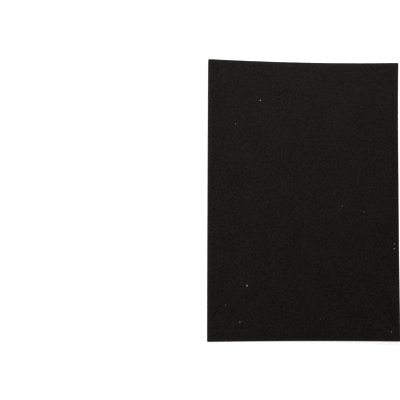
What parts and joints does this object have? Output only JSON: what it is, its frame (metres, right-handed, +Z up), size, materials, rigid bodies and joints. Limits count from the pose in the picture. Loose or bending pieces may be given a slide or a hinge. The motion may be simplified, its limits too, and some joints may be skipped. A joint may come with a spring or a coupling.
{
  "type": "craft foam sheet",
  "caption": "Thin flat rectangular sheet of black closed-cell craft foam, with square corners that curl up slightly, for cutting and gluing.",
  "frame": {"origin": "on the floor under the middle of the sheet, in the plane of its flat underside", "axes": "+X across the sheet's width towards its right-hand long edge, +Y along its length towards the far short edge, +Z up through its thickness, out of the face that shows"},
  "size_m": [0.2, 0.29, 0.0049],
  "materials": {
    "black_foam": "matte closed-cell foam with a fine sliced grain"
  },
  "bodies": {
    "root": {"foam_sheet": "black_foam"}
  },
  "joints": []
}
